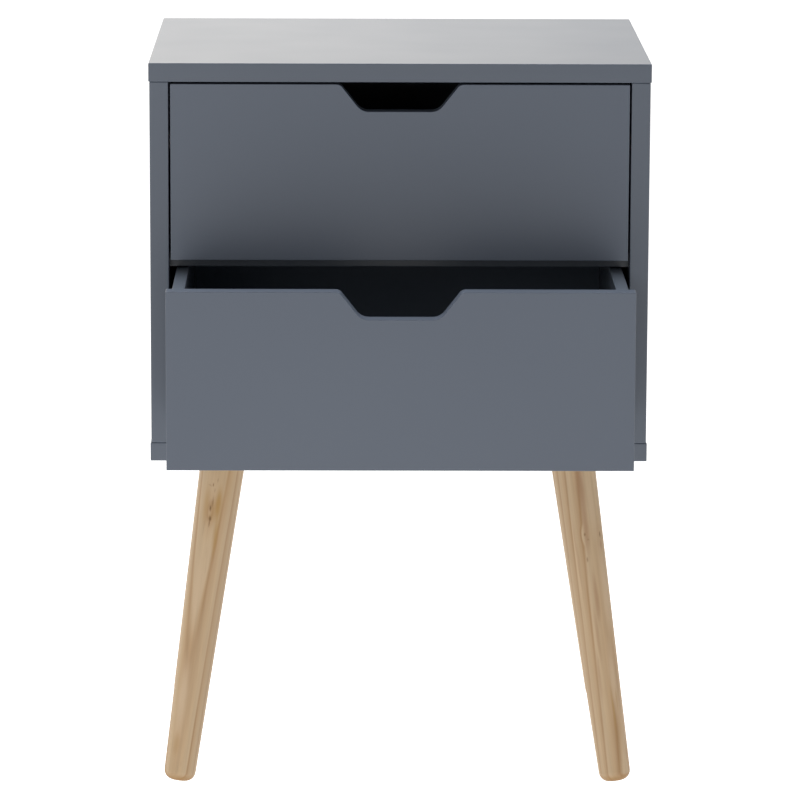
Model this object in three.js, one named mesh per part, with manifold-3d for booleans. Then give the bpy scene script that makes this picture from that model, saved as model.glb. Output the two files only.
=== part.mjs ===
// Bedside cabinet with two drawers: a painted board box on four splayed turned legs.
// Millimetres, +Z up, the drawers face -Y, and the floor is at z = 0. The lower drawer stands
// drawn out. The origin is on the floor, in the middle of the object's width and its whole depth.

import * as THREE from "three";
import * as BufferGeometryUtils from "three/addons/utils/BufferGeometryUtils.js";
import Module from "manifold-3d";

const wasm = await Module();
wasm.setup();

// Cabinet boards
const cabinetWidth = 400;
const cabinetDepth = 320;
const undersideHeight = 272;
const openingHeight = 292;
const boardThickness = 15;
const boardEdge = 0.6;
const sideInset = 0.75;
const dividerThickness = 12;
const dividerSetback = 1;
const dividerHang = 1.9;
const dividerHousing = 4;
const backThickness = 4;
const backSetback = 10;
const backHousing = 6;
const jointGap = 0.3;
const cutOverrun = 5;

// Drawers
const frontThickness = 15;
const frontTopGap = 1.6;
const frontMiddleGap = 5.8;
const frontBottomGap = 1.6;
const frontSideGap = 1.5;
const drawerDepth = 290;
const drawerSideGap = 5.5;
const drawerSideThickness = 10;
const drawerSideRise = 18.5;
const drawerBackThickness = 10;
const drawerEdge = 0.8;
const dividerClearance = 1.1;
const drawerBottomThickness = 3;
const drawerBottomRaise = 9;
const drawerBottomHousing = 5;
const drawnOut = 118;

// Finger cut-out in the top edge of each drawer front
const cutoutTopWidth = 95.5;
const cutoutBottomWidth = 61;
const cutoutDepth = 21.8;
const cutoutTopRadius = 6;
const cutoutBottomRadius = 12;
const cutoutArcSteps = 4;

// Runners, each a strip on the cabinet side that a groove in the drawer side slides along
const runnerHeight = 16;
const runnerBite = 4;
const runnerSetback = 28;
const runnerDrop = 45;
const runnerLead = 3;
const slideGap = 0.3;
const grooveSpareDepth = 0.5;
const grooveSpareHeight = 2.5;
const stopHeight = 2;
const stopLength = 6;
const stopTravel = 200;
const studRadius = 4;
const studLength = 9;
const studFromEnd = 30;
const studSides = 16;

// Legs
const legInset = 58.8;
const rearLegOutset = 2;
const splayDegrees = 8;
const legTopRadius = 18;
const legFootRadius = 12.9;
const legTopDrop = 8;
const legTopEdge = 1;
const footRounding = 8;
const footRoundingSteps = 5;
const footWear = 0.4;
const legSides = 24;

// Leg plates and the bolts that the legs screw onto
const plateWidth = 60;
const plateThickness = 2.5;
const plateCorner = 6;
const plateHoleSpacing = 46;
const bossRadius = 12;
const bossSides = 20;
const boltRadius = 4;
const boltEdge = 0.8;
const boltTopSetback = 2;
const boltInLeg = 30;
const boltSides = 16;
const boreClearance = 0.3;
const boreSpareLength = 1;

// Wood screws through the leg plates
const screwShankRadius = 1.9;
const screwLength = 13;
const screwTipRadius = 0.6;
const screwTipLength = 3;
const screwHeadRadius = 4;
const screwHeadHeight = 2.4;
const screwHeadRim = 1.2;
const screwCrownRadius = 3;
const crossLength = 4.4;
const crossWidth = 1;
const crossDepth = 1.2;
const screwSides = 10;

// Connecting screws, up through the bottom board into the cabinet sides
const connectorFromEdge = 37;
const connectorRadius = 3;
const connectorLength = 50;
const connectorTipLength = 3;
const connectorTipRadius = 1.5;
const connectorHeadRadius = 4.8;
const connectorHeadHeight = 3;
const connectorSink = 0.5;
const socketWidth = 4;
const socketDepth = 2.4;
const connectorSides = 16;

// Cam fittings that pull the top board down onto the cabinet sides
const camRadius = 7.2;
const camThickness = 12;
const camDrop = 24;
const camSides = 20;
const camSlotLength = 9;
const camSlotWidth = 2;
const camSlotDepth = 2;
const camBoltRadius = 2.4;
const camBoltThreadRadius = 2.8;
const camBoltThreadLength = 11;
const camBoltHeadRadius = 3.2;
const camBoltHeadHeight = 2.6;
const camBoltSides = 12;

// Places worked out from the sizes above
const openingBottomZ = undersideHeight + boardThickness;
const openingTopZ = openingBottomZ + openingHeight;
const topZ = openingTopZ + boardThickness;
const frontY = -cabinetDepth / 2;
const rearY = cabinetDepth / 2;
const sideOuterX = cabinetWidth / 2 - sideInset;
const sideInnerX = sideOuterX - boardThickness;
const sideMiddleX = (sideInnerX + sideOuterX) / 2;
const frontHeight = (openingHeight - frontTopGap - frontMiddleGap - frontBottomGap) / 2;
const lowerFrontZ = openingBottomZ + frontBottomGap;
const upperFrontZ = lowerFrontZ + frontHeight + frontMiddleGap;
const dividerBottomZ = lowerFrontZ + frontHeight - dividerHang;
const dividerTopZ = dividerBottomZ + dividerThickness;
const dividerFrontY = frontY + frontThickness + dividerSetback;
const backRearY = rearY - backSetback;
const backFrontY = backRearY - backThickness;
const drawerRearY = frontY + drawerDepth;
const drawerOuterX = sideInnerX - drawerSideGap;
const drawerInnerX = drawerOuterX - drawerSideThickness;
const sideTopDrop = dividerHang + dividerClearance;
const drawerSideHeight = frontHeight - sideTopDrop - drawerSideRise;
const runnerInnerX = drawerOuterX - runnerBite;
const runnerFrontY = frontY + runnerSetback;
const runnerRearY = drawerRearY;
const stopRearY = drawerRearY - stopLength - stopTravel - slideGap;
const camZ = openingTopZ - camDrop;
const splay = THREE.MathUtils.degToRad(splayDegrees);

// Looks
const paint = { color: 0x656b76, roughness: 0.5, metalness: 0 };
const backPaint = { color: 0x5c626c, roughness: 0.7, metalness: 0 };
const pine = { color: 0xc4a57c, roughness: 0.55, metalness: 0 };
const steel = { color: 0xb4b6b8, roughness: 0.35, metalness: 1 };
const zinc = { color: 0xa9abad, roughness: 0.45, metalness: 1 };
const nylon = { color: 0xe6e4dc, roughness: 0.45, metalness: 0 };

// Left and right, front and rear
const sides = [{ word: "left", sign: -1 }, { word: "right", sign: 1 }];
const ends = [{ word: "front", sign: -1 }, { word: "rear", sign: 1 }];

// A geometry as a solid that can be cut and joined
function solidOf(geometry) {
  const bare = geometry.clone();
  bare.deleteAttribute("normal");
  bare.deleteAttribute("uv");
  const merged = BufferGeometryUtils.mergeVertices(bare);
  return new wasm.Manifold(new wasm.Mesh({
    numProp: 3,
    vertProperties: new Float32Array(merged.attributes.position.array),
    triVerts: new Uint32Array(merged.index.array),
  }));
}

function geometryOf(solid) {
  const mesh = solid.getMesh();
  const geometry = new THREE.BufferGeometry();
  geometry.setAttribute("position", new THREE.BufferAttribute(mesh.vertProperties, 3));
  geometry.setIndex(new THREE.BufferAttribute(mesh.triVerts, 1));
  geometry.computeVertexNormals();
  return geometry;
}

function cut(geometry, tools) {
  const solid = tools.reduce((rest, tool) => rest.subtract(solidOf(tool)), solidOf(geometry));
  return geometryOf(solid);
}

function join(geometry, additions) {
  const solid = additions.reduce((whole, piece) => whole.add(solidOf(piece)), solidOf(geometry));
  return geometryOf(solid);
}

// A plain block between any two opposite corners
function block(cornerA, cornerB) {
  const box = new THREE.Box3().setFromPoints([
    new THREE.Vector3(...cornerA),
    new THREE.Vector3(...cornerB),
  ]);
  const size = box.getSize(new THREE.Vector3());
  const centre = box.getCenter(new THREE.Vector3());
  return new THREE.BoxGeometry(size.x, size.y, size.z).translate(centre.x, centre.y, centre.z);
}

// An outline in X and Y pulled out along Z, its rims broken by an edge inside the full size
function thickOutline(shape, thickness, edge) {
  return new THREE.ExtrudeGeometry(shape, {
    depth: thickness - 2 * edge,
    bevelEnabled: edge > 0,
    bevelThickness: edge,
    bevelSize: edge,
    bevelOffset: -edge,
    bevelSegments: 1,
    curveSegments: cutoutArcSteps,
  }).translate(0, 0, edge);
}

// A board between any two opposite corners, with all its edges broken
function board(cornerA, cornerB, edge) {
  const low = cornerA.map((value, axis) => Math.min(value, cornerB[axis]));
  const size = cornerA.map((value, axis) => Math.abs(value - cornerB[axis]));
  const shape = new THREE.Shape([
    new THREE.Vector2(edge, 0),
    new THREE.Vector2(size[0] - edge, 0),
    new THREE.Vector2(size[0], edge),
    new THREE.Vector2(size[0], size[1] - edge),
    new THREE.Vector2(size[0] - edge, size[1]),
    new THREE.Vector2(edge, size[1]),
    new THREE.Vector2(0, size[1] - edge),
    new THREE.Vector2(0, edge),
  ]);
  return thickOutline(shape, size[2], edge).translate(...low);
}

// An outline in Y and Z pulled out along X from one x to another
function acrossX(points, startX, endX) {
  const shape = new THREE.Shape(points.map(([y, z]) => new THREE.Vector2(y, z)));
  const low = Math.min(startX, endX);
  const turn = new THREE.Matrix4().makeBasis(
    new THREE.Vector3(0, 1, 0),
    new THREE.Vector3(0, 0, 1),
    new THREE.Vector3(1, 0, 0),
  );
  return thickOutline(shape, Math.abs(endX - startX), 0).applyMatrix4(turn).translate(low, 0, 0);
}

// A round rod from a start point along a direction
function rod(radius, start, direction, length, facets) {
  const along = new THREE.Vector3(...direction).normalize();
  const turn = new THREE.Quaternion().setFromUnitVectors(new THREE.Vector3(0, 1, 0), along);
  return new THREE.CylinderGeometry(radius, radius, length, facets)
    .translate(0, length / 2, 0)
    .applyQuaternion(turn)
    .translate(...start);
}

// A turned solid about +Z from a profile of pairs, radius then height, lowest first
function turned(profile, facets) {
  const points = profile.map(([radius, height]) => new THREE.Vector2(radius, height));
  return new THREE.LatheGeometry(points, facets).rotateX(Math.PI / 2);
}

function makeMesh(name, geometry, look) {
  const mesh = new THREE.Mesh(geometry, new THREE.MeshStandardMaterial(look));
  mesh.name = name;
  return mesh;
}

// Where the connecting screws and the cam bolts stand, in the middle of the side boards
function connectorPlaces() {
  return ends.flatMap((end) => sides.map((side) => ({
    word: `${end.word}_${side.word}`,
    side,
    x: side.sign * sideMiddleX,
    y: end.sign * (cabinetDepth / 2 - connectorFromEdge),
  })));
}

// Where the legs' axes meet the underside, and which way the legs lean. The rear legs stand a
// little further out, so that the front ones hide them from before.
function legPlaces() {
  const lean = Math.tan(splay);
  const outset = { front: 0, rear: rearLegOutset };
  return ends.flatMap((end) => sides.map((side) => ({
    word: `${end.word}_${side.word}`,
    x: side.sign * (cabinetWidth / 2 - legInset + outset[end.word]),
    y: end.sign * (cabinetDepth / 2 - legInset),
    direction: new THREE.Vector3(side.sign * lean, end.sign * lean, -1).normalize(),
  })));
}

// The screw places of a leg plate, from its centre
function plateScrewOffsets() {
  return ends.flatMap((end) => sides.map((side) => ({
    word: `${end.word}_${side.word}`,
    x: side.sign * plateHoleSpacing / 2,
    y: end.sign * plateHoleSpacing / 2,
  })));
}

// The two drawer levels, each given by the bottom of its front
function drawerLevels() {
  return [
    { word: "upper", frontZ: upperFrontZ, out: 0 },
    { word: "lower", frontZ: lowerFrontZ, out: drawnOut },
  ];
}

function drawerSideTop(level) {
  return level.frontZ + frontHeight - sideTopDrop;
}

function runnerMiddleZ(level) {
  return drawerSideTop(level) - runnerDrop;
}

function studYs() {
  return [runnerFrontY + studFromEnd, runnerRearY - studFromEnd];
}

// The room for the back board in the boards around it
function backGroove() {
  const reachX = sideInnerX + backHousing;
  return block(
    [-reachX, backFrontY - jointGap, openingBottomZ - backHousing],
    [reachX, backRearY + jointGap, openingTopZ + backHousing],
  );
}

// Cabinet boards
function makeTopBoard() {
  const blank = board([-cabinetWidth / 2, frontY, openingTopZ], [cabinetWidth / 2, rearY, topZ], boardEdge);
  const holeRadius = camBoltThreadRadius + boreClearance;
  const holeLength = cutOverrun + camBoltThreadLength + boreSpareLength;
  const holes = connectorPlaces().map(({ x, y }) => (
    rod(holeRadius, [x, y, openingTopZ - cutOverrun], [0, 0, 1], holeLength, camBoltSides)
  ));
  return makeMesh("top_board", cut(blank, [backGroove(), ...holes]), paint);
}

function makeBottomBoard() {
  const low = [-cabinetWidth / 2, frontY, undersideHeight];
  const high = [cabinetWidth / 2, rearY, openingBottomZ];
  const up = [0, 0, 1];
  const belowZ = undersideHeight - cutOverrun;
  const headRadius = connectorHeadRadius + boreClearance;
  const headLength = cutOverrun + connectorSink + connectorHeadHeight;
  const shankRadius = connectorRadius + boreClearance;
  const shankLength = boardThickness + 2 * cutOverrun;
  const connectorHoles = connectorPlaces().flatMap(({ x, y }) => [
    rod(headRadius, [x, y, belowZ], up, headLength, connectorSides),
    rod(shankRadius, [x, y, belowZ], up, shankLength, connectorSides),
  ]);
  const screwRadius = screwShankRadius + boreClearance;
  const screwDepth = cutOverrun + screwLength - plateThickness + boreSpareLength;
  const screwHoles = legPlaces().flatMap((leg) => plateScrewOffsets().map((offset) => (
    rod(screwRadius, [leg.x + offset.x, leg.y + offset.y, belowZ], up, screwDepth, screwSides)
  )));
  const geometry = cut(board(low, high, boardEdge), [backGroove(), ...connectorHoles, ...screwHoles]);
  return makeMesh("bottom_board", geometry, paint);
}

function makeSideBoard(side) {
  const sign = side.sign;
  const airX = sign * (sideInnerX - cutOverrun);
  const blank = board(
    [sign * sideInnerX, frontY, openingBottomZ],
    [sign * sideOuterX, rearY, openingTopZ],
    boardEdge,
  );
  const dividerRoom = block(
    [airX, dividerFrontY - jointGap, dividerBottomZ],
    [sign * (sideInnerX + dividerHousing), backRearY, dividerTopZ + jointGap],
  );
  const studHoles = drawerLevels().flatMap((level) => studYs().map((y) => rod(
    studRadius + boreClearance,
    [airX, y, runnerMiddleZ(level)],
    [sign, 0, 0],
    cutOverrun + studLength + boreSpareLength,
    studSides,
  )));
  const here = connectorPlaces().filter((place) => place.side === side);
  const connectorHoles = here.map(({ x, y }) => rod(
    connectorRadius + boreClearance,
    [x, y, openingBottomZ - cutOverrun],
    [0, 0, 1],
    cutOverrun + connectorLength - boardThickness + boreSpareLength,
    connectorSides,
  ));
  const camHoles = here.flatMap(({ x, y }) => [
    rod(
      camRadius + boreClearance,
      [airX, y, camZ],
      [sign, 0, 0],
      cutOverrun + camThickness + boreClearance,
      camSides,
    ),
    rod(
      camBoltHeadRadius + boreClearance,
      [x, y, openingTopZ + cutOverrun],
      [0, 0, -1],
      cutOverrun + camDrop,
      camBoltSides,
    ),
  ]);
  const tools = [backGroove(), dividerRoom, ...studHoles, ...connectorHoles, ...camHoles];
  return makeMesh(`${side.word}_side_board`, cut(blank, tools), paint);
}

function makeDivider() {
  const reachX = sideInnerX + dividerHousing - jointGap;
  const low = [-reachX, dividerFrontY, dividerBottomZ];
  const high = [reachX, backFrontY - jointGap, dividerTopZ];
  return makeMesh("divider_board", board(low, high, boardEdge), paint);
}

function makeBack() {
  const reachX = sideInnerX + backHousing - jointGap;
  const reachZ = backHousing - jointGap;
  const low = [-reachX, backFrontY, openingBottomZ - reachZ];
  const high = [reachX, backRearY, openingTopZ + reachZ];
  return makeMesh("back_board", board(low, high, boardEdge / 2), backPaint);
}

// Cabinet fittings
function makeConnector(place) {
  const headTop = connectorSink + connectorHeadHeight;
  const body = turned([
    [0, connectorSink],
    [connectorHeadRadius, connectorSink],
    [connectorHeadRadius, headTop],
    [connectorRadius, headTop],
    [connectorRadius, connectorLength - connectorTipLength],
    [connectorTipRadius, connectorLength],
    [0, connectorLength],
  ], connectorSides);
  const socket = block(
    [-socketWidth / 2, -socketWidth / 2, -cutOverrun],
    [socketWidth / 2, socketWidth / 2, connectorSink + socketDepth],
  );
  const mesh = makeMesh(`connecting_screw_${place.word}`, cut(body, [socket]), zinc);
  mesh.position.set(place.x, place.y, undersideHeight);
  return mesh;
}

function makeCam(place) {
  const sign = place.side.sign;
  const faceX = sign * sideInnerX;
  const disc = rod(camRadius, [faceX, place.y, camZ], [sign, 0, 0], camThickness, camSides);
  const boltRoom = rod(
    camBoltHeadRadius + boreClearance,
    [place.x, place.y, camZ - camBoltHeadHeight / 2 - boreClearance],
    [0, 0, 1],
    camRadius * 2,
    camBoltSides,
  );
  const slot = block(
    [faceX - sign * cutOverrun, place.y - camSlotLength / 2, camZ - camSlotWidth / 2],
    [faceX + sign * camSlotDepth, place.y + camSlotLength / 2, camZ + camSlotWidth / 2],
  );
  return makeMesh(`cam_${place.word}`, cut(disc, [boltRoom, slot]), zinc);
}

function makeCamBolt(place) {
  const geometry = turned([
    [0, -camDrop - camBoltHeadHeight / 2],
    [camBoltHeadRadius, -camDrop - camBoltHeadHeight / 2],
    [camBoltHeadRadius, -camDrop + camBoltHeadHeight / 2],
    [camBoltRadius, -camDrop + camBoltHeadHeight / 2],
    [camBoltRadius, -jointGap],
    [camBoltThreadRadius, -jointGap],
    [camBoltThreadRadius, camBoltThreadLength],
    [0, camBoltThreadLength],
  ], camBoltSides);
  const mesh = makeMesh(`cam_bolt_${place.word}`, geometry, zinc);
  mesh.position.set(place.x, place.y, openingTopZ);
  return mesh;
}

// A runner's side view, front end first, with a stop under it that catches the drawer
function runnerOutline(middleZ) {
  const bottom = middleZ - runnerHeight / 2;
  const top = middleZ + runnerHeight / 2;
  const stopFrontY = stopRearY - stopLength;
  return [
    [runnerFrontY, bottom + runnerLead],
    [runnerFrontY + runnerLead, bottom],
    [stopFrontY, bottom],
    [stopFrontY + stopHeight, bottom - stopHeight],
    [stopRearY, bottom - stopHeight],
    [stopRearY, bottom],
    [runnerRearY, bottom],
    [runnerRearY, top],
    [runnerFrontY + runnerLead, top],
    [runnerFrontY, top - runnerLead],
  ];
}

function makeRunner(level, side) {
  const middleZ = runnerMiddleZ(level);
  const seatX = side.sign * sideInnerX;
  const strip = acrossX(runnerOutline(middleZ), side.sign * runnerInnerX, seatX);
  const studStartX = seatX - side.sign * runnerBite;
  const studs = studYs().map((y) => rod(
    studRadius,
    [studStartX, y, middleZ],
    [side.sign, 0, 0],
    runnerBite + studLength,
    studSides,
  ));
  return makeMesh(`${level.word}_${side.word}_runner`, join(strip, studs), nylon);
}

// Legs
function legTilt(leg) {
  return leg.direction.angleTo(new THREE.Vector3(0, 0, -1));
}

function legTurn(leg) {
  return new THREE.Quaternion().setFromUnitVectors(new THREE.Vector3(0, 0, -1), leg.direction);
}

// How far along its axis a leg's top face lies from the underside of the cabinet
function legTopReach(leg) {
  return legTopDrop / Math.cos(legTilt(leg));
}

// The length that brings the rounded foot of a leaning leg just past the floor
function legLength(leg) {
  const tilt = legTilt(leg);
  const rimRadius = legFootRadius - footRounding;
  const drop = undersideHeight - legTopDrop + footWear - footRounding;
  return (drop - rimRadius * Math.sin(tilt)) / Math.cos(tilt) + footRounding;
}

// A leg's profile from its bolt hole round to the foot, as radius and distance from the top face
function legProfile(length) {
  const holeRadius = boltRadius + boreClearance;
  const holeLength = boltInLeg + boreSpareLength;
  const points = [
    [0, holeLength],
    [holeRadius, holeLength],
    [holeRadius, 0],
    [legTopRadius - legTopEdge, 0],
    [legTopRadius, legTopEdge],
  ];
  for (let step = 0; step <= footRoundingSteps; step += 1) {
    const angle = (step / footRoundingSteps) * Math.PI / 2;
    points.push([
      legFootRadius - footRounding + footRounding * Math.cos(angle),
      length - footRounding + footRounding * Math.sin(angle),
    ]);
  }
  points.push([0, length]);
  return points;
}

function makeLeg(leg) {
  const centre = new THREE.Vector3(leg.x, leg.y, undersideHeight)
    .addScaledVector(leg.direction, legTopReach(leg));
  const geometry = turned(legProfile(legLength(leg)), legSides)
    .rotateX(Math.PI)
    .applyQuaternion(legTurn(leg));
  const reach = undersideHeight;
  const floor = block([-reach, -reach, -centre.z], [reach, reach, -centre.z - cutOverrun]);
  const mesh = makeMesh(`${leg.word}_leg`, cut(geometry, [floor]), pine);
  mesh.position.copy(centre);
  return mesh;
}

function makeLegBolt(leg) {
  const start = boltTopSetback;
  const end = legTopReach(leg) + boltInLeg;
  const geometry = turned([
    [0, start],
    [boltRadius - boltEdge, start],
    [boltRadius, start + boltEdge],
    [boltRadius, end - boltEdge],
    [boltRadius - boltEdge, end],
    [0, end],
  ], boltSides).rotateX(Math.PI);
  const mesh = makeMesh(`${leg.word}_leg_bolt`, geometry, zinc);
  mesh.position.set(leg.x, leg.y, undersideHeight);
  mesh.quaternion.copy(legTurn(leg));
  return mesh;
}

// A square plate under the cabinet with a leaning boss for the leg's bolt
function makeLegPlate(leg) {
  const half = plateWidth / 2;
  const shape = new THREE.Shape([
    new THREE.Vector2(-half + plateCorner, -half),
    new THREE.Vector2(half - plateCorner, -half),
    new THREE.Vector2(half, -half + plateCorner),
    new THREE.Vector2(half, half - plateCorner),
    new THREE.Vector2(half - plateCorner, half),
    new THREE.Vector2(-half + plateCorner, half),
    new THREE.Vector2(-half, half - plateCorner),
    new THREE.Vector2(-half, -half + plateCorner),
  ]);
  const flat = thickOutline(shape, plateThickness, 0).translate(0, 0, -plateThickness);
  const along = leg.direction.toArray();
  const bossEnd = legTopReach(leg) - jointGap;
  const boss = rod(bossRadius, [0, 0, 0], along, bossEnd, bossSides);
  const above = block([-half, -half, 0], [half, half, half]);
  const boreStart = leg.direction.clone().multiplyScalar(-cutOverrun).toArray();
  const bore = rod(boltRadius + boreClearance, boreStart, along, bossEnd + 2 * cutOverrun, boltSides);
  const screwHoles = plateScrewOffsets().map(({ x, y }) => rod(
    screwShankRadius + boreClearance,
    [x, y, -plateThickness - cutOverrun],
    [0, 0, 1],
    plateThickness + 2 * cutOverrun,
    screwSides,
  ));
  const geometry = cut(join(flat, [boss]), [above, bore, ...screwHoles]);
  const mesh = makeMesh(`${leg.word}_leg_plate`, geometry, steel);
  mesh.position.set(leg.x, leg.y, undersideHeight);
  return mesh;
}

function makePlateScrew(leg, offset) {
  const body = turned([
    [0, -screwHeadHeight],
    [screwCrownRadius, -screwHeadHeight],
    [screwHeadRadius, -screwHeadRim],
    [screwHeadRadius, 0],
    [screwShankRadius, 0],
    [screwShankRadius, screwLength - screwTipLength],
    [screwTipRadius, screwLength],
    [0, screwLength],
  ], screwSides);
  const recessZ = crossDepth - screwHeadHeight;
  const belowZ = -screwHeadHeight - cutOverrun;
  const cross = [
    block([-crossLength / 2, -crossWidth / 2, belowZ], [crossLength / 2, crossWidth / 2, recessZ]),
    block([-crossWidth / 2, -crossLength / 2, belowZ], [crossWidth / 2, crossLength / 2, recessZ]),
  ];
  const mesh = makeMesh(`${leg.word}_plate_screw_${offset.word}`, cut(body, cross), zinc);
  mesh.position.set(leg.x + offset.x, leg.y + offset.y, undersideHeight - plateThickness);
  return mesh;
}

// Drawers, each modelled closed at its own level
function frontShape() {
  const half = sideInnerX - frontSideGap;
  const topHalf = cutoutTopWidth / 2;
  const bottomHalf = cutoutBottomWidth / 2;
  const floor = frontHeight - cutoutDepth;
  const wall = new THREE.Vector2(topHalf - bottomHalf, cutoutDepth);
  const turn = Math.atan2(wall.y, wall.x);
  const topRun = cutoutTopRadius * Math.tan(turn / 2);
  const bottomRun = cutoutBottomRadius * Math.tan(turn / 2);
  const topStep = wall.clone().setLength(topRun);
  const bottomStep = wall.clone().setLength(bottomRun);
  const shape = new THREE.Shape();
  shape.moveTo(-half, 0);
  shape.lineTo(half, 0);
  shape.lineTo(half, frontHeight);
  shape.lineTo(topHalf + topRun, frontHeight);
  shape.quadraticCurveTo(topHalf, frontHeight, topHalf - topStep.x, frontHeight - topStep.y);
  shape.lineTo(bottomHalf + bottomStep.x, floor + bottomStep.y);
  shape.quadraticCurveTo(bottomHalf, floor, bottomHalf - bottomRun, floor);
  shape.lineTo(-bottomHalf + bottomRun, floor);
  shape.quadraticCurveTo(-bottomHalf, floor, -bottomHalf - bottomStep.x, floor + bottomStep.y);
  shape.lineTo(-topHalf + topStep.x, frontHeight - topStep.y);
  shape.quadraticCurveTo(-topHalf, frontHeight, -topHalf - topRun, frontHeight);
  shape.lineTo(-half, frontHeight);
  shape.closePath();
  return shape;
}

// Heights of the drawer's own bottom board
function drawerFloor(level) {
  const low = drawerSideTop(level) - drawerSideHeight + drawerBottomRaise;
  return { low, high: low + drawerBottomThickness };
}

function makeDrawerFront(level) {
  const face = thickOutline(frontShape(), frontThickness, drawerEdge)
    .rotateX(Math.PI / 2)
    .translate(0, frontY + frontThickness, level.frontZ);
  const { low, high } = drawerFloor(level);
  const reachX = drawerInnerX + drawerBottomHousing;
  const behindY = frontY + frontThickness;
  const groove = block(
    [-reachX, behindY - drawerBottomHousing, low - jointGap],
    [reachX, behindY + cutOverrun, high + jointGap],
  );
  return makeMesh(`${level.word}_drawer_front`, cut(face, [groove]), paint);
}

// The groove that rides on the runner, open behind and narrowed there by a stop
function runnerGroove(level, side) {
  const top = runnerMiddleZ(level) + runnerHeight / 2 + slideGap;
  const bottom = runnerMiddleZ(level) - runnerHeight / 2 - grooveSpareHeight;
  const frontEndY = runnerFrontY - slideGap;
  const stopY = drawerRearY - stopLength;
  const outline = [
    [frontEndY, bottom],
    [stopY, bottom],
    [stopY, bottom + stopHeight],
    [drawerRearY - stopHeight, bottom + stopHeight],
    [drawerRearY, bottom],
    [drawerRearY + cutOverrun, bottom],
    [drawerRearY + cutOverrun, top],
    [frontEndY, top],
  ];
  const depthX = runnerInnerX - grooveSpareDepth;
  return acrossX(outline, side.sign * depthX, side.sign * (drawerOuterX + cutOverrun));
}

function makeDrawerSide(level, side) {
  const sign = side.sign;
  const top = drawerSideTop(level);
  const blank = board(
    [sign * drawerInnerX, frontY + frontThickness, top - drawerSideHeight],
    [sign * drawerOuterX, drawerRearY, top],
    drawerEdge,
  );
  const { low, high } = drawerFloor(level);
  const bottomGroove = block(
    [sign * (drawerInnerX - cutOverrun), frontY, low - jointGap],
    [sign * (drawerInnerX + drawerBottomHousing), drawerRearY + cutOverrun, high + jointGap],
  );
  const geometry = cut(blank, [runnerGroove(level, side), bottomGroove]);
  return makeMesh(`${level.word}_drawer_${side.word}_side`, geometry, paint);
}

function makeDrawerBack(level) {
  const low = [-drawerInnerX, drawerRearY - drawerBackThickness, drawerFloor(level).high];
  const high = [drawerInnerX, drawerRearY, drawerSideTop(level)];
  return makeMesh(`${level.word}_drawer_back`, board(low, high, drawerEdge), paint);
}

function makeDrawerBottom(level) {
  const floor = drawerFloor(level);
  const reachX = drawerInnerX + drawerBottomHousing - jointGap;
  const startY = frontY + frontThickness - drawerBottomHousing + jointGap;
  const geometry = block([-reachX, startY, floor.low], [reachX, drawerRearY, floor.high]);
  return makeMesh(`${level.word}_drawer_bottom`, geometry, paint);
}

function makeDrawer(level) {
  const drawer = new THREE.Group();
  drawer.add(makeDrawerFront(level));
  for (const side of sides) {
    drawer.add(makeDrawerSide(level, side));
  }
  drawer.add(makeDrawerBack(level), makeDrawerBottom(level));
  drawer.position.y = -level.out;
  return drawer;
}

function makeCabinet() {
  const cabinet = new THREE.Group();
  cabinet.add(makeTopBoard(), makeBottomBoard(), makeDivider(), makeBack());
  for (const side of sides) {
    cabinet.add(makeSideBoard(side));
    for (const level of drawerLevels()) {
      cabinet.add(makeRunner(level, side));
    }
  }
  for (const place of connectorPlaces()) {
    cabinet.add(makeConnector(place), makeCam(place), makeCamBolt(place));
  }
  return cabinet;
}

function makeLegs() {
  const legs = new THREE.Group();
  for (const leg of legPlaces()) {
    legs.add(makeLeg(leg), makeLegBolt(leg), makeLegPlate(leg));
    for (const offset of plateScrewOffsets()) {
      legs.add(makePlateScrew(leg, offset));
    }
  }
  return legs;
}

// The whole object, moved so that the drawn out drawer and the back lie evenly about the origin
const nightstand = new THREE.Group();
nightstand.add(makeCabinet(), makeLegs());
for (const level of drawerLevels()) {
  nightstand.add(makeDrawer(level));
}
nightstand.position.y = drawnOut / 2;

export default nightstand;
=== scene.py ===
# A painted bedside cabinet with two drawers on four splayed, turned pine legs.
# Metres, +Z up, the drawers face -Y, and the lower drawer stands drawn out.

import math
import bmesh
import bpy
from mathutils import Matrix, Vector


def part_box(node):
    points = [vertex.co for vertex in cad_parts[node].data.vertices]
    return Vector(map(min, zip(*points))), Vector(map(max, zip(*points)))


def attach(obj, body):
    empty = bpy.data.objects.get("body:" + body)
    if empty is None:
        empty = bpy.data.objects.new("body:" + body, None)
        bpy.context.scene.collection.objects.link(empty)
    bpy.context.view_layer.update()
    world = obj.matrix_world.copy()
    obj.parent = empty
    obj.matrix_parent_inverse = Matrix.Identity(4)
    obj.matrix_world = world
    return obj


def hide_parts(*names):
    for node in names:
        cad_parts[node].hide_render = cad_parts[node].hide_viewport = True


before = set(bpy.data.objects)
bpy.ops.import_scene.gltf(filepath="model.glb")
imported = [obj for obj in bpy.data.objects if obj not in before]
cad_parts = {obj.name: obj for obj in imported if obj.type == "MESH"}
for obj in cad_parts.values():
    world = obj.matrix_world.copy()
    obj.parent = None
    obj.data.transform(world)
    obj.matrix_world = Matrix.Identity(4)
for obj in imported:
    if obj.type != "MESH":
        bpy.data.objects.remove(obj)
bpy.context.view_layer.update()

# Camera, in metres and radians, and its focal length as a share of the film's width
CAMERA_PLACE = (-0.040, -3.9156, 1.0591)
CAMERA_DOWN = 0.1908
CAMERA_RIGHT = 0.0107
CAMERA_ROLL = 0.0038
LENS_SHARE = 6.04
FILM_WIDTH = 36.0
CAMERA_REACH = 60.0

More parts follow.
